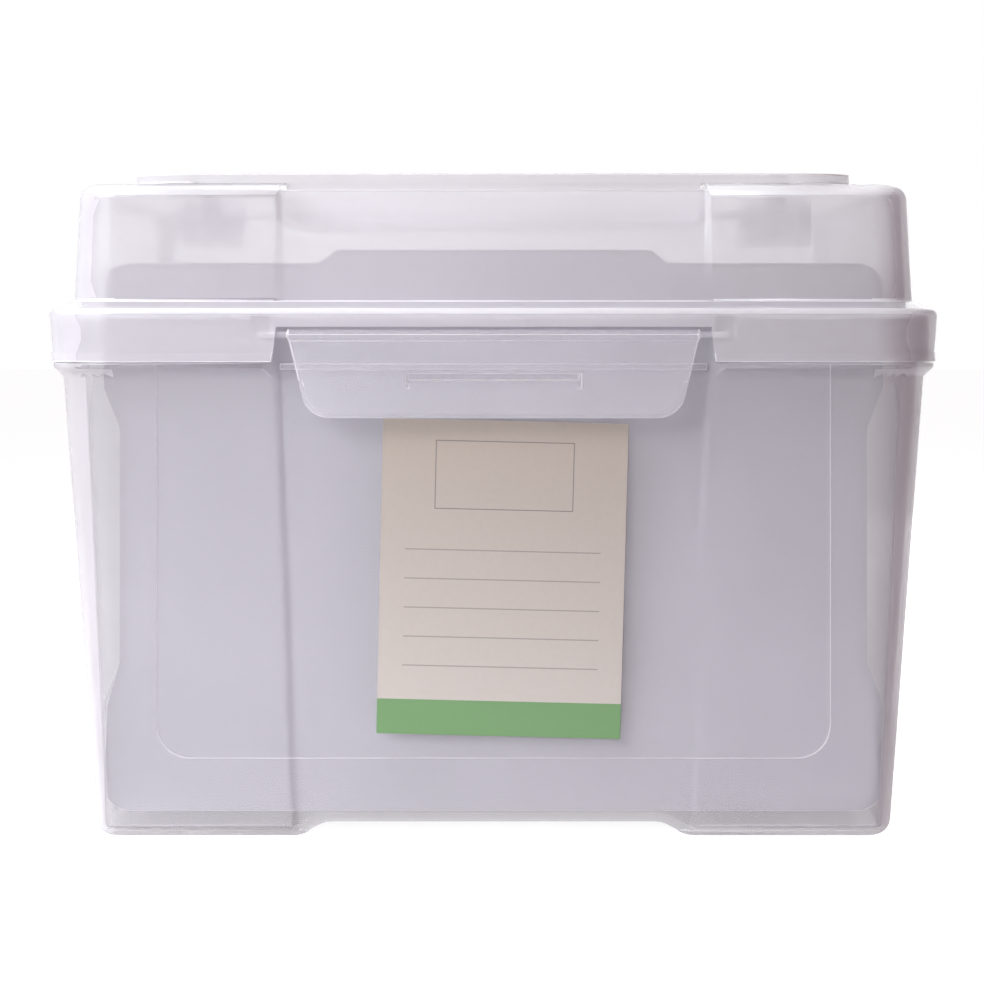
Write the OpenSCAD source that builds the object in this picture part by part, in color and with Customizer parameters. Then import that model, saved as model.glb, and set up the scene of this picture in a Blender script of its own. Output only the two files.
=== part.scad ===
// A clear plastic keeper case: a hinged, latched outer case that holds a row of slim photo cases.
// X runs across the front, Y from front to back and Z up. The case stands on Z = 0.

/* [Photo cases] */
// Width of one photo case
photo_case_w = 193; // [160:1:230]
// Height of one photo case, over the raised middle of its upper edge
photo_case_h = 139; // [125:1:160]
// Thickness of one closed photo case
photo_case_t = 27; // [20:0.5:35]
// Free space before, between and behind the photo cases
case_gap = 0.7; // [0.4:0.1:1.5]
// Free space beside the photo cases at the floor
side_gap = 0.5; // [0.4:0.1:1.5]
// Wall of a photo case
photo_wall = 1.2; // [1:0.1:1.6]
// Corner radius of a photo case
photo_corner_r = 6; // [3:0.5:10]
// Bevel of a photo case's upright back edges, which clears the bin's round corners
photo_bevel = 2; // [1.8:0.1:2.4]
// How far the lid of a photo case overlaps its tray
photo_lid_t = 8; // [6:0.5:10]
// Running gap between a photo case's lid and tray
photo_fit = 0.3; // [0.2:0.05:0.4]
// Height of the raised middle of the upper edge
raised_h = 3.3; // [2:0.1:5]
// Width of the raised middle of the upper edge
raised_w = 78; // [50:1:100]
// Depth of the finger waist in each short side
waist_depth = 4; // [2:0.1:4.4]
// Length of the finger waist
waist_h = 58; // [40:1:70]
// How far the middle of the waist lies above the middle of the short side
waist_up = -2; // [-5:0.5:5]
// Width of the frame round the sunk panel in a photo case's lid
panel_inset = 13; // [9:0.5:18]
// Corner radius of the sunk panel
panel_r = 8; // [4:0.5:12]
// Depth of the sunk panel
panel_depth = 0.5; // [0.3:0.1:0.6]
// Radius of the pegs that a photo case's lid pivots on
peg_r = 1.5; // [1.2:0.1:2]
// Height of the pegs above the lower edge of the photo case
peg_up = 9; // [7:0.5:12]

/* [Bin] */
// Wall of the bin
bin_wall = 1.8; // [1.5:0.1:2.4]
// Thickness of the bin's floor
floor_t = 2; // [1.6:0.1:3]
// How far the middle of the floor is arched up between the feet
arch_h = 3.7; // [2.5:0.1:5]
// Width of the raised middle of the floor
arch_w = 80; // [60:1:90]
// Width of the curve from the raised middle down to each foot
arch_run = 10; // [6:0.5:14]
// How far the photo cases stand out above the rim of the bin
case_show = 27.9; // [20:0.1:46]
// Outward slope of the walls
draft = 4.1; // [3:0.1:5]
// Corner radius of the bin at its floor, seen from above
corner_r = 5.9; // [5:0.1:9]
// Radius of the bin's lower edge
foot_edge_r = 4.2; // [2:0.1:4.6]
// Height of the rim bead
rim_h = 3.4; // [3:0.1:5]
// How far the rim bead stands out of the wall
rim_out = 2.5; // [2.4:0.1:3]
// Height of the rim bead across the sunk panel, where the latch holds
latch_rim_h = 1.8; // [1.4:0.1:2.2]
// Height of the neck, which stands inside the lid's skirt
neck_h = 10.9; // [8:0.1:14]

/* [Front panel] */
// Width of the sunk middle panel at the rim
panel_top_w = 103; // [90:1:110]
// Width of the sunk middle panel at the floor
panel_low_w = 95; // [80:1:100]
// How far the middle panel is sunk
panel_sunk = 2.2; // [1.8:0.1:2.6]

/* [Lid] */
// Wall of the lid
lid_wall = 1.6; // [1.4:0.1:2.2]
// Free height over the photo cases, under the finger pocket
head_room = 5.3; // [4:0.1:10]
// Gap between the lid and the bin where they meet
lid_gap = 0.3; // [0.2:0.05:0.5]
// Gap between the bin's neck and the lid's skirt
skirt_gap = 0.9; // [0.6:0.1:1.2]
// Height of the lid's skirt
skirt_h = 13.2; // [11:0.1:15]
// Height of the bead along the skirt's lower edge
skirt_bead_h = 2.4; // [1.5:0.1:3]
// How far that bead stands out of the skirt
skirt_bead = 0.25; // [0.1:0.05:0.4]
// How much wider the skirt is at its top than at its bead
skirt_flare = 0.75; // [0.5:0.05:1]
// Radius of the skirt's upper edge
flange_r = 1.8; // [1:0.1:2]
// Radius between the shoulder and the raised part
ledge_r = 1.2; // [0.6:0.1:1.6]
// Rise of the sloping shoulder above the skirt
shoulder_h = 1.4; // [1:0.1:3]
// Width of the shoulder, from the skirt to the raised part of the lid
shoulder_w = 6.2; // [5:0.1:8]
// Inward slope of the raised part of the lid
lid_draft = 2.5; // [1:0.1:4]
// Radius of the lid's upper edge
lid_edge_r = 4; // [3:0.1:5]
// Width of the sunk middle panel of the lid
lid_panel_w = 107; // [95:1:110]

/* [Finger pocket and handle] */
// Depth of the finger pocket under the grip
pocket_depth = 9.2; // [7:0.1:12]
// Length of the finger pocket, from front to back
pocket_l = 42; // [30:1:50]
// Radius of the pocket's lower edges at its two ends
pocket_r = 4; // [3:0.5:8]
// How far the front wall ends below the top of the lid, in front of the pocket
pocket_lip_drop = 1.4; // [1:0.1:2]
// How much narrower the pocket is at each end than the sunk panel
pocket_step = 1; // [0.5:0.1:2]
// Distance from each side of the lid's top to the handle
handle_inset = 12.7; // [11:0.1:20]
// Thickness of the handle
handle_t = 2.4; // [2:0.1:3]
// Width of the handle's grip bar
grip_w = 14; // [11:0.5:18]
// How far the lip under the grip's front edge reaches down
grip_lip = 1.9; // [1.5:0.1:2.2]
// Thickness of that lip
grip_lip_t = 1.4; // [1:0.1:1.8]
// Width of the handle's arms
arm_w = 15; // [13:0.5:17]
// Outer corner radius of the handle
handle_corner_r = 16; // [15:0.5:20]
// How far the grip lies behind the lid's front wall
grip_back = 2.5; // [1.5:0.1:6]
// Gap between the lying handle and the top of the lid
handle_gap = 0.35; // [0.3:0.05:0.5]
// Thickness of the lugs under the handle's arms
lug_t = 5; // [4:0.1:6]
// Radius of the rounded end of a lug
lug_r = 4.5; // [4:0.1:5]
// Radius of the handle's pivot pins
handle_pin_r = 2; // [1.6:0.1:2.4]
// Width of the socket that a lug turns in
socket_w = 15; // [12:0.5:16]

/* [Latch flap] */
// Width of the flap at its hinge
flap_w = 100; // [90:1:102]
// Width of the flap at its lower corners
flap_low_w = 93.5; // [85:0.5:98]
// Height of the flap below its hinge line
flap_h = 20.2; // [18:0.1:24]
// Thickness of the flap
flap_t = 1.5; // [1.3:0.1:1.8]
// Radius of the flap's lower corners
flap_corner_r = 7; // [5:0.5:8]
// Radius of the rolled upper edge of the flap
flap_roll_r = 1.35; // [1.3:0.05:1.4]
// How far the flap's hinge line lies behind its face
flap_pin_in = 1.7; // [1.65:0.05:1.75]
// Distance from the top of the skirt down to the flap's rolled edge
flap_drop = 5.2; // [4:0.1:5.6]
// Width of the stiffening lip behind the flap's lower edge
flap_lip_w = 1; // [0.8:0.1:1.4]
// How far that lip stands back from the flap
flap_lip = 0.7; // [0.4:0.1:1]
// Radius of the flap's hinge pins
flap_pin_r = 0.8; // [0.7:0.05:0.85]
// Gap between each end of the flap and the lid's skirt
flap_side_gap = 4; // [2:0.1:4.4]
// Width of the catch bar behind the flap
catch_w = 42; // [30:1:60]
// Height of the catch bar
catch_h = 2; // [1.5:0.1:3]

/* [Back hinge] */
// Distance of each hinge from the middle
hinge_x = 62; // [45:1:75]
// Width of a lid knuckle
knuckle_w = 14; // [10:0.5:20]
// Width of the ears on each side of a knuckle
ear_w = 3.5; // [2.5:0.1:5]
// Outer radius of knuckles and ears
knuckle_r = 2.6; // [2.4:0.05:3]
// Radius of the hinge pins
hinge_pin_r = 1.6; // [1.3:0.05:1.7]
// Running clearance between a pin and its hole
pin_play = 0.05; // [0.03:0.01:0.08]
// Gap between a knuckle's ends and its ears
end_play = 0.3; // [0.2:0.05:0.5]
// Angle at which the heel of a knuckle stops the opened lid
stop_angle = 112; // [100:1:120]
// How far the heel that stops the lid reaches past the rim's edge, seen from the pin
heel_over = 0.45; // [0.3:0.05:0.8]
// Thickness of the heel
heel_t = 1.2; // [0.8:0.1:1.6]

/* [Label] */
// Width of the front label
label_w = 60; // [40:1:70]
// Height of the front label
label_h = 78; // [50:0.5:85]
// Thickness of the front label
label_t = 0.2; // [0.15:0.05:0.4]
// How far the label sits to the right of the middle
label_off = 2.1; // [-5:0.1:5]
// How far the label is turned
label_turn = 1.4; // [-3:0.1:3]
// How far the label's upper edge lies below the latch flap
label_drop = 0.6; // [0:0.1:10]

/* [Hidden] */
$fn = 64;
arc_steps = 6;
eps = 0.01;
case_count = 6;
clear_colour = [0.86, 0.87, 0.92, 0.5];
case_colour = [0.8, 0.82, 0.88, 0.5];
paper_colour = [0.86, 0.85, 0.81];

// Heights of the bin
floor_z = floor_t + arch_h;
case_z = floor_z + 0.2;
case_top_z = case_z + photo_case_h;
rim_z = case_top_z - case_show;
bin_h = rim_z - rim_h;
neck_z = rim_z + neck_h;

// Heights of the lid
skirt_z = rim_z + lid_gap;
shoulder_z = skirt_z + skirt_h;
ledge_z = shoulder_z + shoulder_h;
lid_z = case_top_z + head_room + lid_wall + pocket_depth;
pocket_z = lid_z - pocket_depth;

// Plan of the bin: the corners turn about four upright axes at (+-axis_x, +-axis_y)
row_l = case_count * photo_case_t + (case_count + 1) * case_gap;
inside_x = photo_case_w / 2 + side_gap;
inside_y = (row_l + panel_sunk) / 2;
corner_in = corner_r - bin_wall + floor_z * tan(draft);
axis_x = inside_x - corner_in;
axis_y = inside_y - corner_in;

// Distances outwards from the corner axes, each the same at the front, back and sides
function bin_out(z) = corner_r + z * tan(draft);
rim_face = bin_out(bin_h);
neck_out = rim_face + 0.2;
skirt_in = neck_out + skirt_gap;
skirt_out = skirt_in + lid_wall;
flange_out = skirt_out + skirt_flare;
dome_out = flange_out - shoulder_w;
function lid_out(z) = dome_out - (z - ledge_z) * tan(lid_draft);
front_y = axis_y + flange_out;

// Back hinge
hinge_gap = knuckle_r + 0.3;
hinge_y = front_y + hinge_gap;
hinge_z = skirt_z + 1.2;
rim_back_y = axis_y + rim_face + rim_out - hinge_y;
heel_r = heel_over - rim_back_y;
heel_angle = stop_angle - 180 + acos(-rim_back_y / heel_r);
heel_reach = heel_r * cos(heel_angle) - heel_t * sin(heel_angle);
// The case lies a little forward, so that the origin is the middle of its depth with the hinge
case_y = -(hinge_gap + max(knuckle_r, heel_reach)) / 2;

// Latch flap
flap_y = -front_y + flap_pin_in;
flap_z = shoulder_z - flap_drop - flap_roll_r;
notch_x = flap_w / 2 + flap_side_gap;
notch_z = flap_z + flap_roll_r + 0.6;
flap_low_z = flap_z - flap_h;

// Handle
handle_z = lid_z + handle_gap;
handle_w = 2 * (axis_x + lid_out(lid_z) - handle_inset);
pocket_front_y = -(axis_y + lid_out(lid_z) - panel_sunk - lid_wall);
grip_y = pocket_front_y + grip_back;
pivot_z = pocket_z + 2.5;
socket_x = handle_w / 2 - arm_w + socket_w / 2 - lug_t;
socket_z = pivot_z - lug_r - 0.6;
lug_top = handle_z + handle_t - pivot_z;
socket_back = lug_top + 1.3;
socket_front = 2 * lug_r;
arm_end = lid_z - pivot_z + 2.5;

// Photo cases
first_case_y = -inside_y + panel_sunk + case_gap;
shoulder_top = photo_case_h - raised_h;
raised_ramp = 4;
waist_ramp = 10;
neck_inset = photo_wall + photo_fit;
peg_y = photo_lid_t / 2 + 0.5;

// Points of an arc about (x, y), from angle a0 to a1
function arc(x, y, r, a0, a1) =
    [for (i = [0:arc_steps]) let (a = a0 + (a1 - a0) * i / arc_steps) [x + r * cos(a), y + r * sin(a)]];

// Moves a piece from the middle of the case to the middle of its whole depth
module placed() {
    translate([0, case_y, 0]) children();
}

// A rounded box whose sides and corners all follow one profile of [distance out, height] points
module rounded_shell(profile) {
    low = profile[0][1];
    high = profile[len(profile) - 1][1];
    section = concat([[0, low]], profile, [[0, high]]);
    translate([-axis_x, -axis_y, low]) cube([2 * axis_x, 2 * axis_y, high - low]);
    for (side = [0, 1]) {
        mirror([side, 0, 0]) translate([axis_x, axis_y, 0]) rotate([90, 0, 0])
            linear_extrude(2 * axis_y) polygon(section);
        mirror([0, side, 0]) translate([-axis_x, axis_y, 0]) rotate([90, 0, 90])
            linear_extrude(2 * axis_x) polygon(section);
        for (end = [0, 1])
            mirror([side, 0, 0]) mirror([0, end, 0]) translate([axis_x, axis_y, 0])
                rotate_extrude(angle = 90) polygon(section);
    }
}

// Everything in front of a sunk middle panel: its face lies face_out from the corner axes at
// height foot_z, slopes by slope, and its two bevelled sides lean in downwards by lean
module sunk_front(face_out, foot_z, height, half_w, slope, lean, grow) {
    reach = 12;
    foot_w = half_w + grow * (sqrt(2) - 1);
    translate([0, -axis_y - face_out + grow, foot_z]) rotate([slope, 0, 0])
        intersection_for(side = [0, 1]) mirror([side, 0, 0]) rotate([0, lean, 0]) linear_extrude(height)
            polygon([[-2 * half_w, 0], [foot_w, 0], [foot_w + reach, -reach], [-2 * half_w, -reach]]);
}

module bin_front(grow) {
    lean = atan((panel_top_w - panel_low_w) / 2 / bin_h);
    sunk_front(corner_r - panel_sunk, 0, neck_z + 10, panel_low_w / 2, draft, lean, grow);
}

module lid_front(grow) {
    sunk_front(dome_out - panel_sunk, ledge_z + 0.2 - grow, lid_z - ledge_z + 5, lid_panel_w / 2 - panel_sunk,
               -lid_draft, 0, grow);
}

// The arch under the floor, and with a lift the floor's own upper face
module arch_space(lift) {
    half = arch_w / 2 + lift * 0.4;
    steps = 8;
    s_curve = [for (i = [0:steps]) let (a = 180 * i / steps)
               [half + arch_run * i / steps, lift + arch_h * (1 + cos(a)) / 2]];
    right = concat(s_curve, [[half + arch_run, -1]]);
    left = [for (i = [len(right) - 1:-1:0]) [-right[i][0], right[i][1]]];
    translate([0, axis_y + 60, 0]) rotate([90, 0, 0]) linear_extrude(2 * axis_y + 120)
        polygon(concat(right, left));
}

module bin_outside() {
    edge = bin_out(0) - foot_edge_r;
    rounded_shell(concat(
        arc(edge, foot_edge_r, foot_edge_r, -90, draft - 10),
        [[rim_face, bin_h], [rim_face + rim_out - 0.3, bin_h + 0.6 * rim_h],
         [rim_face + rim_out, bin_h + 0.75 * rim_h], [rim_face + rim_out, rim_z],
         [neck_out, rim_z], [neck_out, neck_z - 0.4], [neck_out - 0.4, neck_z]]));
}

module bin_inside() {
    difference() {
        rounded_shell([
            [bin_out(floor_t) - bin_wall - 1, floor_t], [bin_out(floor_t + 1) - bin_wall, floor_t + 1],
            [rim_face - bin_wall, bin_h], [neck_out - bin_wall + 0.2, rim_z],
            [neck_out - bin_wall + 0.2, neck_z + 1]]);
        bin_front(bin_wall);
        arch_space(floor_t);
    }
}

// The rim bead across the sunk panel, which the flap's catch holds under
module middle_rim() {
    face = axis_y + rim_face - panel_sunk;
    half = panel_top_w / 2 + 0.6;
    translate([-half, 0, 0]) rotate([90, 0, 90]) linear_extrude(2 * half)
        polygon([[-face + 0.6, rim_z - latch_rim_h - 0.2], [-face - rim_out + 0.6, rim_z - latch_rim_h + 0.2],
                 [-face - rim_out + 0.3, rim_z], [-face + 0.6, rim_z]]);
}

module bin_ears() {
    ear_x = knuckle_w / 2 + end_play;
    for (side = [-1, 1]) translate([side * hinge_x, 0, 0]) {
        for (end = [0, 1]) mirror([end, 0, 0]) translate([ear_x, 0, 0]) rotate([90, 0, 90])
            linear_extrude(ear_w) {
                translate([hinge_y, hinge_z]) circle(knuckle_r);
                polygon([[axis_y + rim_face, bin_h + 0.3], [hinge_y + 0.5, hinge_z - knuckle_r],
                         [hinge_y + 0.5, hinge_z], [hinge_y - knuckle_r / 2, rim_z],
                         [axis_y + neck_out, rim_z]]);
            }
        translate([-ear_x - ear_w / 2, hinge_y, hinge_z]) rotate([0, 90, 0])
            cylinder(h = 2 * ear_x + ear_w, r = hinge_pin_r);
    }
}

module bin() color(clear_colour) placed() {
    difference() {
        union() {
            difference() {
                bin_outside();
                bin_front(0);
                arch_space(0);
            }
            middle_rim();
        }
        bin_inside();
    }
    bin_ears();
}

module lid_outside() {
    rounded_shell(concat(
        [[skirt_out + skirt_bead, skirt_z], [skirt_out + skirt_bead, skirt_z + 0.9 * skirt_bead_h],
         [skirt_out, skirt_z + skirt_bead_h]],
        arc(flange_out - flange_r, shoulder_z - flange_r, flange_r, 0, 70),
        arc(dome_out + ledge_r, ledge_z + ledge_r, ledge_r, 250, 180 + lid_draft),
        arc(lid_out(lid_z) - lid_edge_r, lid_z - lid_edge_r, lid_edge_r, lid_draft, 90)));
}

module lid_inside() {
    inner_r = lid_edge_r - lid_wall;
    difference() {
        rounded_shell(concat(
            [[skirt_in, skirt_z - 1], [skirt_in + 0.4, shoulder_z - lid_wall - 1.2]],
            [[skirt_in - 0.4, shoulder_z - lid_wall]],
            [[dome_out - lid_wall + 0.4, ledge_z - lid_wall],
             [dome_out - lid_wall, ledge_z - lid_wall + 0.6]],
            arc(lid_out(lid_z) - lid_edge_r, lid_z - lid_edge_r, inner_r, lid_draft, 90)));
        lid_front(lid_wall);
        pocket(lid_wall);
        sockets(lid_wall);
    }
}

// The finger pocket behind the lid's front wall; grow adds the wall round it
module pocket(grow) {
    half = lid_panel_w / 2 - pocket_step + grow;
    low = pocket_z - grow;
    high = lid_z + (grow == 0 ? 2 : 0);
    r = pocket_r + grow;
    translate([0, pocket_front_y + pocket_l + grow, 0]) rotate([90, 0, 0]) linear_extrude(pocket_l + grow)
        polygon(concat([[-half, high]], arc(-half + r, low + r, r, 180, 270),
                       arc(half - r, low + r, r, 270, 360), [[half, high]]));
}

// The sockets that the handle's lugs turn in; grow adds the wall round them
module sockets(grow) {
    for (side = [-1, 1])
        translate([side * socket_x - socket_w / 2 - grow, -socket_front - grow, socket_z - grow])
            cube([socket_w + 2 * grow, socket_front + socket_back + 2 * grow,
                  lid_z - socket_z + grow + (grow == 0 ? 1 : -0.5)]);
}

// The notch in the skirt that the flap closes, a little narrower at its top
module flap_notch() {
    top_x = notch_x - flap_side_gap * 0.3;
    translate([0, -axis_y - neck_out + 1, 0]) rotate([90, 0, 0])
        linear_extrude(front_y - axis_y - neck_out + 2)
            polygon([[-notch_x, skirt_z - 1], [notch_x, skirt_z - 1], [top_x, notch_z], [-top_x, notch_z]]);
}

// Small blocks behind the skirt at the two ends of the notch, which hold the flap's pins
module flap_blocks() {
    block_w = 5;
    face = front_y - skirt_flare - 0.4;
    inner = axis_y + neck_out + 0.3;
    for (side = [0, 1]) mirror([side, 0, 0])
        translate([notch_x, -face, flap_z - flap_roll_r - 0.5])
            cube([block_w, face - inner, shoulder_z - 1.4 - flap_z + flap_roll_r]);
}

module lid_knuckles() {
    for (side = [-1, 1]) translate([side * hinge_x - knuckle_w / 2, hinge_y, hinge_z])
        rotate([90, 0, 90]) difference() {
            union() {
                cylinder(h = knuckle_w, r = knuckle_r);
                linear_extrude(knuckle_w)
                    polygon([[-hinge_gap - 0.8, -0.6], [0, -0.6], [0, knuckle_r],
                             [-hinge_gap - 0.2, knuckle_r + 2]]);
                rotate([0, 0, heel_angle]) cube([heel_r, heel_t, knuckle_w]);
            }
            translate([0, 0, -1]) cylinder(h = knuckle_w + 2, r = hinge_pin_r + pin_play);
        }
}

module lid() color(clear_colour) placed() difference() {
    union() {
        difference() {
            lid_outside();
            lid_front(0);
            lid_inside();
            flap_notch();
        }
        flap_blocks();
        lid_knuckles();
    }
    pocket(0);
    sockets(0);
    translate([-lid_panel_w / 2 + pocket_step, -front_y, lid_z - pocket_lip_drop])
        cube([lid_panel_w - 2 * pocket_step, front_y - axis_y + 4, 2 * pocket_lip_drop]);
    for (side = [-1, 1])
        translate([side * socket_x - socket_w / 2 - lid_wall - 1, 0, pivot_z]) rotate([0, 90, 0])
            cylinder(h = socket_w + 2 * lid_wall + 2, r = handle_pin_r + pin_play);
    translate([-notch_x - 3, flap_y, flap_z]) rotate([0, 90, 0])
        cylinder(h = 2 * notch_x + 6, r = flap_pin_r + pin_play);
}

// The flap's outline in X and Z, drawn in by inset
function flap_outline(inset) =
    let (r = flap_corner_r - inset, low = flap_low_z + inset, half = flap_low_w / 2 - inset,
         top = flap_w / 2 - inset)
    concat([[-top, flap_z]], arc(-half + r, low + r, r, 183, 270),
           arc(half - r, low + r, r, 270, 357), [[top, flap_z]]);

module latch_flap() color(clear_colour) placed() {
    pin_reach = flap_side_gap + 2.7;
    catch_z = rim_z - latch_rim_h - 0.2 - lid_gap;
    translate([0, -front_y + flap_t, 0]) rotate([90, 0, 0]) linear_extrude(flap_t)
        polygon(flap_outline(0));
    // a stiffening lip round the lower edge
    difference() {
        translate([0, -front_y + flap_t + flap_lip, 0]) rotate([90, 0, 0]) linear_extrude(flap_lip + eps)
            difference() {
                polygon(flap_outline(0));
                polygon(flap_outline(flap_lip_w));
            }
        translate([-flap_w, -front_y, flap_low_z + flap_corner_r + 2]) cube([2 * flap_w, 10, flap_h]);
    }
    translate([-flap_w / 2, flap_y, flap_z]) rotate([0, 90, 0]) cylinder(h = flap_w, r = flap_roll_r);
    translate([-flap_w / 2 - pin_reach, flap_y, flap_z]) rotate([0, 90, 0])
        cylinder(h = flap_w + 2 * pin_reach, r = flap_pin_r);
    // the catch bar, which snaps under the rim, and its two end ribs
    translate([-catch_w / 2, -front_y + flap_t - eps, catch_z - catch_h])
        cube([catch_w, front_y - axis_y - rim_face + panel_sunk - flap_t - 0.8, catch_h]);
    for (side = [-1, 1])
        translate([side * catch_w / 2 - 0.6, -front_y + flap_t - eps, catch_z - catch_h - 2])
            cube([1.2, 1.8, catch_h + 2]);
}

module handle() color(clear_colour) placed() {
    half = handle_w / 2;
    inner = half - arm_w;
    inner_r = max(handle_corner_r - grip_w, 3) + 3;
    corner_x = half - handle_corner_r;
    corner_y = grip_y + handle_corner_r;
    inner_y = grip_y + grip_w;
    translate([0, 0, handle_z]) linear_extrude(handle_t) difference() {
        union() {
            translate([-half, corner_y]) square([handle_w, -arm_end - corner_y]);
            translate([-corner_x, grip_y]) square([2 * corner_x, handle_corner_r]);
            for (side = [-1, 1]) translate([side * corner_x, corner_y]) circle(handle_corner_r);
        }
        translate([-inner, inner_y + inner_r]) square([2 * inner, -grip_y]);
        translate([-inner + inner_r, inner_y]) square([2 * (inner - inner_r), inner_r + 1]);
        for (side = [-1, 1]) translate([side * (inner - inner_r), inner_y + inner_r]) circle(inner_r);
    }
    // a lip under the grip's front edge, inside the finger pocket
    lip_x = lid_panel_w / 2 - pocket_step - 1.5;
    translate([-lip_x, grip_y, handle_z - grip_lip]) cube([2 * lip_x, grip_lip_t, grip_lip + eps]);
    for (side = [-1, 1]) {
        translate([side * socket_x - lug_t / 2, 0, pivot_z]) rotate([90, 0, 90]) linear_extrude(lug_t) {
            circle(lug_r);
            polygon([[-lug_r, 0], [-arm_end + 1, handle_z - pivot_z],
                     [-arm_end - 6, handle_z - pivot_z + 0.6],
                     [-arm_end - 6, lug_top], [-lug_r + 0.5, lug_top], [lug_r, 0]]);
        }
        translate([side * socket_x - socket_w / 2 - lid_wall, 0, pivot_z]) rotate([0, 90, 0])
            cylinder(h = socket_w + 2 * lid_wall, r = handle_pin_r);
    }
}

module front_label() color(paper_colour) placed() {
    face = axis_y + corner_r - panel_sunk;
    translate([0, -face, 0]) rotate([draft, 0, 0])
        translate([label_off, 0, flap_low_z - label_drop - label_h / 2]) rotate([0, label_turn, 0])
            translate([-label_w / 2, -label_t, -label_h / 2]) cube([label_w, label_t, label_h]);
}

// The outline of a photo case in X and Z, drawn in by inset
function photo_outline(inset) =
    let (half = photo_case_w / 2 - inset, r = photo_corner_r - inset, top = shoulder_top - inset,
         side_shift = inset * tan(atan(waist_depth / waist_ramp) / 2),
         top_shift = inset * tan(atan(raised_h / raised_ramp) / 2),
         low = shoulder_top / 2 - waist_h / 2 + waist_up, high = low + waist_h,
         right = concat(
             arc(half - r, inset + r, r, -90, 0),
             [[half, low - waist_ramp - side_shift], [half - waist_depth, low - side_shift],
              [half - waist_depth, high + side_shift], [half, high + waist_ramp + side_shift]],
             arc(half - r, top - r, r, 0, 90),
             [[raised_w / 2 + raised_ramp - top_shift, top],
              [raised_w / 2 - top_shift, photo_case_h - inset]]))
    concat(right, [for (i = [len(right) - 1:-1:0]) [-right[i][0], right[i][1]]]);

// A slab of a photo case's outline, from one depth to another
module photo_slab(inset, from_y, to_y) {
    translate([0, to_y, 0]) rotate([90, 0, 0]) linear_extrude(to_y - from_y) polygon(photo_outline(inset));
}

module at_case(number) {
    translate([0, first_case_y + (number - 1) * (photo_case_t + case_gap), case_z]) children();
}

module photo_tray(number) color(case_colour) placed() at_case(number) difference() {
    neck_y = photo_wall + photo_fit;
    split = photo_lid_t + photo_fit;
    union() {
        photo_slab(0, split, photo_case_t);
        photo_slab(neck_inset, neck_y, photo_case_t);
        translate([-photo_case_w / 2 + photo_wall / 2, peg_y, peg_up]) rotate([0, 90, 0])
            cylinder(h = photo_case_w - photo_wall, r = peg_r);
    }
    photo_slab(neck_inset + photo_wall, neck_y - 1, photo_case_t - photo_wall);
    for (side = [0, 1]) mirror([side, 0, 0]) translate([photo_case_w / 2, photo_case_t, -1])
        linear_extrude(photo_case_h + 2)
            polygon([[-photo_bevel, 0], [-photo_bevel, 1], [1, 1], [1, -photo_bevel], [0, -photo_bevel]]);
}

module photo_lid(number) color(case_colour) placed() at_case(number) difference() {
    half = photo_case_w / 2 - panel_inset;
    panel_h = shoulder_top - 2 * panel_inset;
    photo_slab(0, 0, photo_lid_t);
    photo_slab(photo_wall, photo_wall, photo_lid_t + 1);
    // the sunk panel in the face
    translate([-half, panel_depth, panel_inset]) rotate([90, 0, 0]) linear_extrude(2 * panel_depth)
        polygon(concat(arc(panel_r, panel_r, panel_r, 180, 270),
                       arc(2 * half - panel_r, panel_r, panel_r, 270, 360),
                       arc(2 * half - panel_r, panel_h - panel_r, panel_r, 0, 90),
                       arc(panel_r, panel_h - panel_r, panel_r, 90, 180)));
    // the skirt is open along the lower edge, where the lid swings
    translate([-photo_case_w / 2 + photo_corner_r, photo_wall, -1])
        cube([photo_case_w - 2 * photo_corner_r, photo_lid_t, photo_wall + 2]);
    translate([-photo_case_w, peg_y, peg_up]) rotate([0, 90, 0])
        cylinder(h = 2 * photo_case_w, r = peg_r + pin_play);
}

bin();
lid();
latch_flap();
handle();
front_label();
photo_tray(1);  // photo_case_1_tray
photo_lid(1);  // photo_case_1_lid
photo_tray(2);  // photo_case_2_tray
photo_lid(2);  // photo_case_2_lid
photo_tray(3);  // photo_case_3_tray
photo_lid(3);  // photo_case_3_lid
photo_tray(4);  // photo_case_4_tray
photo_lid(4);  // photo_case_4_lid
photo_tray(5);  // photo_case_5_tray
photo_lid(5);  // photo_case_5_lid
photo_tray(6);  // photo_case_6_tray
photo_lid(6);  // photo_case_6_lid
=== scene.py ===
import math

import bpy
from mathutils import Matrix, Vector


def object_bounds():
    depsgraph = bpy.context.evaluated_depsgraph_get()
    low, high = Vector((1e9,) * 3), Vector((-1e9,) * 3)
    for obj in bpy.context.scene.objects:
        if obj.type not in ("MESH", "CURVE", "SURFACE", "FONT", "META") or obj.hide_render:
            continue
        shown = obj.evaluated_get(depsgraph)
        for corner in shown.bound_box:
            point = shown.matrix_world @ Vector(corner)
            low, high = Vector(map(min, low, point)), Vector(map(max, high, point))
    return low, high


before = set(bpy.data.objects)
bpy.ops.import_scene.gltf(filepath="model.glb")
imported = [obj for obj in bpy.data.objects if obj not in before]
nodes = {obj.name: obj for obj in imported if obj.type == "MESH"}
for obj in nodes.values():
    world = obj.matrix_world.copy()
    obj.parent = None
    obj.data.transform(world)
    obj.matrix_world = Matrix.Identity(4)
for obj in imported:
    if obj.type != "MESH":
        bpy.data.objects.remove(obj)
cadLow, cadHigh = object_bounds()
print("frame loaded:", len(nodes), "nodes")

scene = bpy.context.scene
scene.view_settings.view_transform = "Standard"
scene.cycles.transparent_max_bounces = 24    # a look through the case crosses many thin walls

cameraSettings = {
    "distance": 0.700,      # from the front face of the lid's skirt
    "height": 0.129,        # the photograph's horizon
    "pixelsPerMm": 4.13,    # at that front face
    "frameSize": 984,
    "middleX": 493.5,       # pixel of the case's middle
    "horizonY": 314.0,
    "sensorWidth": 36,
    "clipStart": 0.01,
    "clipEnd": 50,
}
mmPerMetre = 1000


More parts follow.
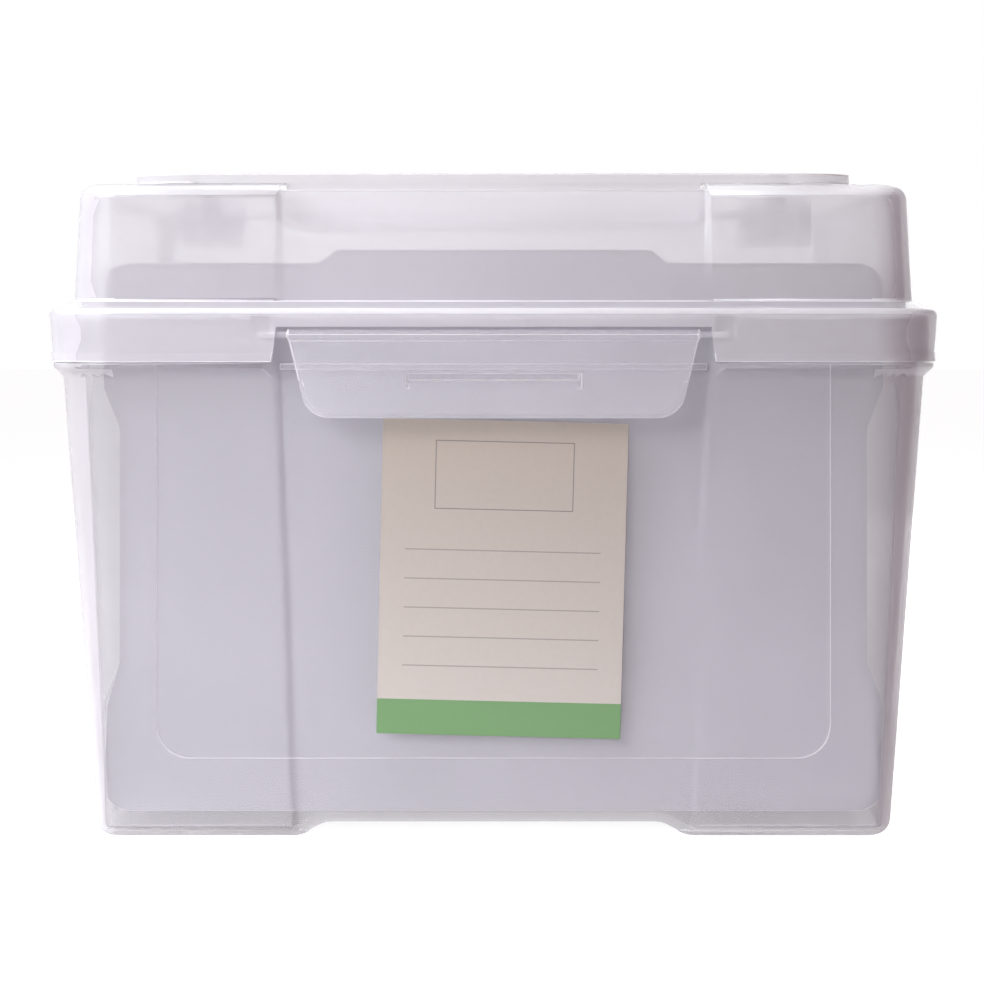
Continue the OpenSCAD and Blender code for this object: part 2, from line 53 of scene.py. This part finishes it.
def makeCamera(s):
    data = bpy.data.cameras.new("camera")
    camera = bpy.data.objects.new("camera", data)
    scene.collection.objects.link(camera)
    front = cadLow[1]
    camera.location = (0, front - s["distance"], s["height"])
    camera.rotation_euler = (math.radians(90), 0, 0)
    focalPixels = s["pixelsPerMm"] * s["distance"] * mmPerMetre
    data.sensor_width = s["sensorWidth"]
    data.lens = focalPixels * s["sensorWidth"] / s["frameSize"]
    half = s["frameSize"] / 2
    data.shift_x = (half - s["middleX"]) / s["frameSize"]
    data.shift_y = (s["horizonY"] - half) / s["frameSize"]
    data.clip_start = s["clipStart"]
    data.clip_end = s["clipEnd"]
    scene.camera = camera


makeCamera(cameraSettings)
print("camera placed")


def mathNode(tree, operation, a, b=0.0):
    step = tree.nodes.new("ShaderNodeMath")
    step.operation = operation
    for socket, value in zip(step.inputs, (a, b)):
        if isinstance(value, (int, float)):
            socket.default_value = value
        else:
            tree.links.new(value, socket)
    return step.outputs[0]


lightSettings = {
    "leftGlow": (0.160, 0.165, 0.170),    # room light from the left
    "rightGlow": (0.056, 0.018, 0.028),   # and from the right, dim and warm
    "keyPlace": (-0.54, -0.58, 0.44),     # each lamp has a place, a size, watts and a colour
    "keySize": 0.50,
    "keyAim": (-0.20, -0.10, 0.09),       # a narrow lamp on the left half, which the photograph has brighter
    "keySpread": 56,
    "keyWatts": 1.15,
    "keyColour": (0.97, 0.97, 1.0),
    "aim": (0, 0, 0.08),                  # where the other lamps point
    "spread": 180,
    "topPlace": (-0.30, -0.20, 0.95),
    "topSize": 0.40,
    "topWatts": 4.4,
    "topColour": (0.95, 0.97, 1.0),
    "fillPlace": (0.55, -0.62, 0.30),
    "fillSize": 0.60,
    "fillWatts": 0.42,
    "fillColour": (1.0, 0.36, 0.46),
    "backPlace": (0.30, 0.95, 0.40),      # keeps the back and the right end from going dark
    "backSize": 0.60,
    "backWatts": 2.2,
    "backColour": (1.0, 0.98, 1.0),
    "floorColour": (0.82, 0.82, 0.83),
    "floorGlow": 0.9,
    "floorReach": 6,
    "floorLow": 0.0004,                   # so that the feet and the floor don't share a plane
}


def seenDirectly(tree):
    # 1 for a ray that shows the background, by itself, in gloss or through plastic
    path = tree.nodes.new("ShaderNodeLightPath")
    plainOrGloss = mathNode(tree, "MAXIMUM", path.outputs["Is Camera Ray"], path.outputs["Is Glossy Ray"])
    return mathNode(tree, "MAXIMUM", plainOrGloss, path.outputs["Is Transmission Ray"])


def makeWorld(s):
    world = bpy.data.worlds.new("studio")
    scene.world = world
    world.use_nodes = True
    tree = world.node_tree
    tree.nodes.clear()
    out = tree.nodes.new("ShaderNodeOutputWorld")
    where = tree.nodes.new("ShaderNodeTexCoord")
    apart = tree.nodes.new("ShaderNodeSeparateXYZ")
    tree.links.new(where.outputs["Generated"], apart.inputs[0])
    side = tree.nodes.new("ShaderNodeMapRange")
    side.inputs["From Min"].default_value = -1
    side.inputs["From Max"].default_value = 1
    tree.links.new(apart.outputs["X"], side.inputs["Value"])
    room = tree.nodes.new("ShaderNodeValToRGB")
    room.color_ramp.elements[0].color = (*s["leftGlow"], 1)
    room.color_ramp.elements[1].color = (*s["rightGlow"], 1)
    tree.links.new(side.outputs["Result"], room.inputs["Fac"])
    lit = tree.nodes.new("ShaderNodeBackground")
    tree.links.new(room.outputs["Color"], lit.inputs["Color"])
    white = tree.nodes.new("ShaderNodeBackground")
    white.inputs["Color"].default_value = (1, 1, 1, 1)
    white.inputs["Strength"].default_value = 1.0
    mix = tree.nodes.new("ShaderNodeMixShader")
    tree.links.new(seenDirectly(tree), mix.inputs[0])
    tree.links.new(lit.outputs[0], mix.inputs[1])
    tree.links.new(white.outputs[0], mix.inputs[2])
    tree.links.new(mix.outputs[0], out.inputs[0])


def makeLamp(name, s):
    data = bpy.data.lights.new(name + "Light", "AREA")
    data.shape = "SQUARE"
    data.size = s[name + "Size"]
    data.energy = s[name + "Watts"]
    data.color = s[name + "Colour"]
    lamp = bpy.data.objects.new(name + "Light", data)
    place = Vector(s[name + "Place"])
    lamp.location = place
    aim = Vector(s.get(name + "Aim", s["aim"]))
    lamp.rotation_euler = (aim - place).to_track_quat("-Z", "Y").to_euler()
    data.spread = math.radians(s.get(name + "Spread", s["spread"]))
    scene.collection.objects.link(lamp)


def makeFloor(s):
    mesh = bpy.data.meshes.new("floor")
    r = s["floorReach"]
    z = -s["floorLow"]
    corners = [(-r, -r, z), (r, -r, z), (r, r, z), (-r, r, z)]
    mesh.from_pydata(corners, [], [(0, 1, 2, 3)])
    floor = bpy.data.objects.new("floor", mesh)
    scene.collection.objects.link(floor)
    material = bpy.data.materials.new("palePaper")
    material.use_nodes = True
    tree = material.node_tree
    tree.nodes.clear()
    out = tree.nodes.new("ShaderNodeOutputMaterial")
    matt = tree.nodes.new("ShaderNodeBsdfDiffuse")
    matt.inputs["Color"].default_value = (*s["floorColour"], 1)
    glow = tree.nodes.new("ShaderNodeEmission")
    glow.inputs["Strength"].default_value = s["floorGlow"]
    both = tree.nodes.new("ShaderNodeAddShader")
    mix = tree.nodes.new("ShaderNodeMixShader")
    tree.links.new(matt.outputs[0], both.inputs[0])
    tree.links.new(glow.outputs[0], both.inputs[1])
    tree.links.new(seenDirectly(tree), mix.inputs[0])
    tree.links.new(matt.outputs[0], mix.inputs[1])
    tree.links.new(both.outputs[0], mix.inputs[2])
    tree.links.new(mix.outputs[0], out.inputs[0])
    mesh.materials.append(material)


makeWorld(lightSettings)
for lampName in ("key", "top", "fill", "back"):
    makeLamp(lampName, lightSettings)
makeFloor(lightSettings)
print("light and floor made")

roundingSettings = {
    "join": 0.000002,
    "flat": 0.2,          # degrees between faces that count as one
    "crease": 60,         # edges sharper than this are rounded
    "sharp": 62,          # and only sharper ones shade as corners
    "segments": 2,
}
# material slots of every moulded piece: plain body plastic, lighter edge plastic as a painted highlight,
# darker and milkier side plastic as painted shade
bodySlot, edgeSlot, paintedShadeSlot = 0, 1, 2


def geometryGroup(name):
    group = bpy.data.node_groups.new(name, "GeometryNodeTree")
    group.interface.new_socket("Geometry", in_out="INPUT", socket_type="NodeSocketGeometry")
    group.interface.new_socket("Geometry", in_out="OUTPUT", socket_type="NodeSocketGeometry")
    return group, group.nodes.new("NodeGroupInput"), group.nodes.new("NodeGroupOutput")


def shadeByAngle(limit):
    group, start, end = geometryGroup("shadeByAngle")
    new, link = group.nodes.new, group.links.new
    allSmooth = new("GeometryNodeSetShadeSmooth")
    allSmooth.domain = "FACE"
    allSmooth.inputs["Shade Smooth"].default_value = True
    angle = new("GeometryNodeInputMeshEdgeAngle")
    wide = new("FunctionNodeCompare")
    wide.data_type = "FLOAT"
    wide.operation = "GREATER_THAN"
    wide.inputs["B"].default_value = math.radians(limit)
    keepSharp = new("GeometryNodeSetShadeSmooth")
    keepSharp.domain = "EDGE"
    keepSharp.inputs["Shade Smooth"].default_value = False
    link(start.outputs[0], allSmooth.inputs["Geometry"])
    link(allSmooth.outputs[0], keepSharp.inputs["Geometry"])
    link(angle.outputs["Unsigned Angle"], wide.inputs["A"])
    link(wide.outputs["Result"], keepSharp.inputs["Selection"])
    link(keepSharp.outputs[0], end.inputs[0])
    return group


smoothGroup = shadeByAngle(roundingSettings["sharp"])


def pickFaces(name, axis, low, high, slot):
    # body faces turned this far along an axis take another slot's plastic: the lighter one is a painted
    # highlight, the darker one painted shade
    group, start, end = geometryGroup(name)
    new, link = group.nodes.new, group.links.new
    apart = new("ShaderNodeSeparateXYZ")
    link(new("GeometryNodeInputNormal").outputs["Normal"], apart.inputs[0])
    turned = mathNode(group, "ABSOLUTE", apart.outputs[axis])
    above = mathNode(group, "GREATER_THAN", turned, low)
    below = mathNode(group, "LESS_THAN", turned, high)
    inside = mathNode(group, "MULTIPLY", above, below)
    slotNow = new("GeometryNodeInputMaterialIndex").outputs[0]
    isBody = mathNode(group, "LESS_THAN", slotNow, bodySlot + 0.5)
    put = new("GeometryNodeSetMaterialIndex")
    put.inputs["Material Index"].default_value = slot
    link(start.outputs[0], put.inputs["Geometry"])
    link(mathNode(group, "MULTIPLY", inside, isBody), put.inputs["Selection"])
    link(put.outputs[0], end.inputs[0])
    return group


# axis, least and most share of the normal along it, and the slot
facePicks = {
    "endWalls": ("X", 0.5, 1.1, paintedShadeSlot),       # seen along their length, so milkier, and darker as painted shade
    # floors take the darker, milkier side plastic too: painted shade
    "floors": ("Z", 0.5, 1.1, paintedShadeSlot),
    "shoulders": ("Z", 0.25, 0.92, edgeSlot),    # the lid's sloped and rounded faces take the lighter edge plastic, a painted highlight
    "thinWalls": ("Y", -0.1, 0.5, edgeSlot),     # the photo cases' walls, seen on edge, take the lighter edge plastic, a painted highlight
}
pickGroups = {name: pickFaces(name, *row) for name, row in facePicks.items()}


def roundEdges(piece, width, s=roundingSettings):
    weld = piece.modifiers.new("join", "WELD")
    weld.merge_threshold = s["join"]
    flat = piece.modifiers.new("flatFaces", "DECIMATE")
    flat.decimate_type = "DISSOLVE"
    flat.angle_limit = math.radians(s["flat"])
    bevel = piece.modifiers.new("roundEdges", "BEVEL")
    bevel.offset_type = "ABSOLUTE"    # slides along the neighbouring edges, so narrow steps don't fold over
    bevel.width = width
    bevel.segments = s["segments"]
    bevel.limit_method = "ANGLE"
    bevel.angle_limit = math.radians(s["crease"])
    bevel.use_clamp_overlap = False
    bevel.loop_slide = False
    # the rounded strips take the lighter edge plastic: a painted highlight along every rounded edge
    bevel.material = edgeSlot
    shade = piece.modifiers.new("shade", "NODES")
    shade.node_group = smoothGroup
    even = piece.modifiers.new("evenNormals", "WEIGHTED_NORMAL")
    even.keep_sharp = True


mouldedSheet = {
    "mottle": 0.05,       # the moulded sheet is a little uneven in tone
    "mottleSize": 14,
    "mottleDetail": 3,
    "mottleRange": (0.3, 0.7),
    "waveSize": 18,       # and not quite flat
    "waveDetail": 2,
    "waveDepth": 0.00018,
    "ior": 1.49,
}


def milkyPlastic(name, colour, cover, roughness, s=mouldedSheet):
    material = bpy.data.materials.new(name)
    material.use_nodes = True
    tree = material.node_tree
    skin = tree.nodes["Principled BSDF"]
    new, link = tree.nodes.new, tree.links.new
    coords = new("ShaderNodeTexCoord")
    cloud = new("ShaderNodeTexNoise")
    cloud.inputs["Scale"].default_value = s["mottleSize"]
    cloud.inputs["Detail"].default_value = s["mottleDetail"]
    link(coords.outputs["Object"], cloud.inputs["Vector"])
    tone = new("ShaderNodeValToRGB")
    dim, bright = tone.color_ramp.elements
    dim.position, bright.position = s["mottleRange"]
    dim.color = (*[c * (1 - s["mottle"]) for c in colour], 1)
    bright.color = (*[min(1, c * (1 + s["mottle"])) for c in colour], 1)
    link(cloud.outputs["Fac"], tone.inputs["Fac"])
    link(tone.outputs["Color"], skin.inputs["Base Color"])
    wave = new("ShaderNodeTexNoise")
    wave.inputs["Scale"].default_value = s["waveSize"]
    wave.inputs["Detail"].default_value = s["waveDetail"]
    link(coords.outputs["Object"], wave.inputs["Vector"])
    swell = new("ShaderNodeBump")
    swell.inputs["Distance"].default_value = s["waveDepth"]
    link(wave.outputs["Fac"], swell.inputs["Height"])
    link(swell.outputs["Normal"], skin.inputs["Normal"])
    skin.inputs["Roughness"].default_value = roughness
    skin.inputs["IOR"].default_value = s["ior"]
    skin.inputs["Alpha"].default_value = cover
    return material


def dressPiece(names, title, s, picks=()):
    faces = milkyPlastic(title, s["body"], s["bodyCover"], s["roughness"])
    # the edge plastic is lighter and milkier than the body: the lighter tone is a painted highlight
    edges = milkyPlastic(title + "EdgePaintedHighlight", s["edge"], s["edgeCover"], s["roughness"])
    milkyPaintedShadeSides = None
    # the side plastic is darker and milkier than the body: the darker tone is painted shade
    if "sideCover" in s:
        milkyPaintedShadeSides = milkyPlastic(title + "Side", s["side"], s["sideCover"], s["roughness"])
    for name in names:
        mesh = nodes[name].data
        mesh.materials.clear()
        mesh.materials.append(faces)
        mesh.materials.append(edges)
        roundEdges(nodes[name], s["round"])
        if milkyPaintedShadeSides:
            mesh.materials.append(milkyPaintedShadeSides)
        for pick in picks:
            nodes[name].modifiers.new(pick, "NODES").node_group = pickGroups[pick]


# in each look, a cover is the share of light that the plastic stops, and round is in metres
binLook = {
    "body": (0.86, 0.842, 0.885),
    "bodyCover": 0.25,
    # darker, milkier plastic for end walls and floors: the darker tone is painted shade
    "side": (0.72, 0.69, 0.725),
    "sideCover": 0.62,
    # lighter plastic for rounded edges: a painted highlight
    "edge": (0.89, 0.88, 0.92),
    "edgeCover": 0.50,
    "roughness": 0.22,
    "round": 0.0003,
}
dressPiece(["bin"], "binPlastic", binLook, ("endWalls", "floors"))
print("bin dressed")

lidLook = {
    "body": (0.85, 0.832, 0.872),
    "bodyCover": 0.36,
    # darker, milkier plastic for end walls: the darker tone is painted shade
    "side": (0.80, 0.775, 0.82),
    "sideCover": 0.60,
    # lighter plastic for rounded edges and sloped faces: a painted highlight
    "edge": (0.93, 0.93, 0.96),
    "edgeCover": 0.66,
    "roughness": 0.22,
    "round": 0.0003,
}
dressPiece(["lid"], "lidPlastic", lidLook, ("endWalls", "shoulders"))
print("lid dressed")

flapLook = {
    "body": (0.86, 0.86, 0.91),
    "bodyCover": 0.24,
    # near-white plastic for rounded edges: a painted highlight
    "edge": (0.97, 0.97, 0.99),
    "edgeCover": 0.80,
    "roughness": 0.20,
    "round": 0.0003,
}
dressPiece(["latch_flap"], "flapPlastic", flapLook)
print("flap dressed")

handleLook = {
    "body": (0.78, 0.765, 0.80),
    "bodyCover": 0.50,
    "edge": (0.97, 0.97, 0.99),
    # near-white plastic for rounded edges: a painted highlight
    "edgeCover": 0.82,
    "roughness": 0.22,
    "round": 0.0004,
}
dressPiece(["handle"], "handlePlastic", handleLook)
print("handle dressed")

photoCaseLook = {
    "body": (0.60, 0.60, 0.675),
    "bodyCover": 0.46,
    # white plastic for rounded edges and walls seen on edge: a painted highlight
    "edge": (0.99, 0.99, 1.0),
    "edgeCover": 0.94,
    "roughness": 0.30,
    "round": 0.0011,
}
caseNames = [name for name in nodes if name.startswith("photo_case")]
dressPiece(caseNames, "photoCasePlastic", photoCaseLook, ("thinWalls",))
print("photo cases dressed:", len(caseNames), "pieces")

labelLook = {
    # the paper runs darker at the top and lighter at the foot: a painted sheen
    "paperTopLessSheen": (0.47, 0.415, 0.36),
    "paperLowPaintedSheen": (0.60, 0.56, 0.52),
    "fibre": 0.24,                    # how much the fibres change the tone
    "fibreSize": 700,
    "fibreDetail": 4,
    "fibreDepth": 0.00001,
    "roughness": 0.5,
    "band": (0.170, 0.325, 0.140),    # plain strip along the foot of the label
    "bandHeight": 0.0087,
    "ink": (0.16, 0.15, 0.14),
    "boxLow": 0.0560,                 # an empty title box
    "boxHigh": 0.0730,
    "boxInset": 0.0130,
    "boxLine": 0.00025,
    "boxTone": 0.8,
    "ruleFirst": 0.0170,              # blank writing lines
    "ruleGap": 0.0072,
    "ruleCount": 5,
    "ruleInset": 0.0060,
    "ruleLine": 0.00030,
    "ruleTone": 0.55,
}


def labelFace():
    # corner, directions and size of the label's front, from its own mesh
    mesh = nodes["front_label"].data
    spots = {}
    for face in mesh.polygons:
        if face.normal.y < -0.9:
            for v in face.vertices:
                co = mesh.vertices[v].co
                spots[tuple(round(c, 5) for c in co)] = co.copy()
    ordered = sorted(spots.values(), key=lambda co: co.z)
    low = sorted(ordered[:2], key=lambda co: co.x)
    high = sorted(ordered[-2:], key=lambda co: co.x)
    across = low[1] - low[0]
    upward = high[0] - low[0]
    return low[0], across.normalized(), upward.normalized(), across.length, upward.length


def labelPaper(s):
    corner, across, upward, width, height = labelFace()
    material = bpy.data.materials.new("labelPaper")
    material.use_nodes = True
    tree = material.node_tree
    skin = tree.nodes["Principled BSDF"]
    new, link = tree.nodes.new, tree.links.new

    def calc(operation, a, b=0.0):
        return mathNode(tree, operation, a, b)

    def between(value, low, high):
        return calc("MULTIPLY", calc("GREATER_THAN", value, low), calc("LESS_THAN", value, high))

    def along(direction):
        dot = new("ShaderNodeVectorMath")
        dot.operation = "DOT_PRODUCT"
        link(fromCorner.outputs["Vector"], dot.inputs[0])
        dot.inputs[1].default_value = direction
        return dot.outputs["Value"]

    def blendInto(colour, mask, other):
        mix = new("ShaderNodeMix")
        mix.data_type = "RGBA"
        link(mask, mix.inputs["Factor"])
        link(colour, mix.inputs["A"])
        mix.inputs["B"].default_value = (*other, 1)
        return mix.outputs["Result"]

    coords = new("ShaderNodeTexCoord")
    fromCorner = new("ShaderNodeVectorMath")
    fromCorner.operation = "SUBTRACT"
    link(coords.outputs["Object"], fromCorner.inputs[0])
    fromCorner.inputs[1].default_value = corner
    u = along(across)
    v = along(upward)

    # painted sheen: the paper tone runs from the foot to the top, with fibre noise on top of it
    paperSheenAndFibres = new("ShaderNodeValToRGB")
    paperSheenAndFibres.color_ramp.elements[0].color = (*s["paperLowPaintedSheen"], 1)
    paperSheenAndFibres.color_ramp.elements[1].color = (*s["paperTopLessSheen"], 1)
    fibres = new("ShaderNodeTexNoise")
    fibres.inputs["Scale"].default_value = s["fibreSize"]
    fibres.inputs["Detail"].default_value = s["fibreDetail"]
    link(coords.outputs["Object"], fibres.inputs["Vector"])
    uneven = calc("MULTIPLY", calc("SUBTRACT", fibres.outputs["Fac"], 0.5), s["fibre"])
    link(calc("ADD", calc("DIVIDE", v, height), uneven), paperSheenAndFibres.inputs["Fac"])

    # rules: a thin stripe every ruleGap, and the outline of the title box
    last = s["ruleFirst"] + s["ruleGap"] * (s["ruleCount"] - 1) + s["ruleLine"]
    overRule = calc("MODULO", calc("SUBTRACT", v, s["ruleFirst"]), s["ruleGap"])
    stripe = calc("LESS_THAN", overRule, s["ruleLine"])
    rows = between(v, s["ruleFirst"], last)
    columns = between(u, s["ruleInset"], width - s["ruleInset"])
    rules = calc("MULTIPLY", calc("MULTIPLY", stripe, rows), calc("MULTIPLY", columns, s["ruleTone"]))

    def titleBox(inward):
        inset = s["boxInset"] + inward
        sideways = between(u, inset, width - inset)
        return calc("MULTIPLY", sideways, between(v, s["boxLow"] + inward, s["boxHigh"] - inward))

    ring = calc("SUBTRACT", titleBox(0), titleBox(s["boxLine"]))
    outline = calc("MULTIPLY", ring, s["boxTone"])
    ink = calc("MAXIMUM", rules, outline)
    colour = blendInto(paperSheenAndFibres.outputs["Color"], ink, s["ink"])
    colour = blendInto(colour, calc("LESS_THAN", v, s["bandHeight"]), s["band"])
    link(colour, skin.inputs["Base Color"])

    rough = new("ShaderNodeBump")
    rough.inputs["Distance"].default_value = s["fibreDepth"]
    link(fibres.outputs["Fac"], rough.inputs["Height"])
    link(rough.outputs["Normal"], skin.inputs["Normal"])
    skin.inputs["Roughness"].default_value = s["roughness"]
    mesh = nodes["front_label"].data
    mesh.materials.clear()
    mesh.materials.append(material)


labelPaper(labelLook)
print("label printed")
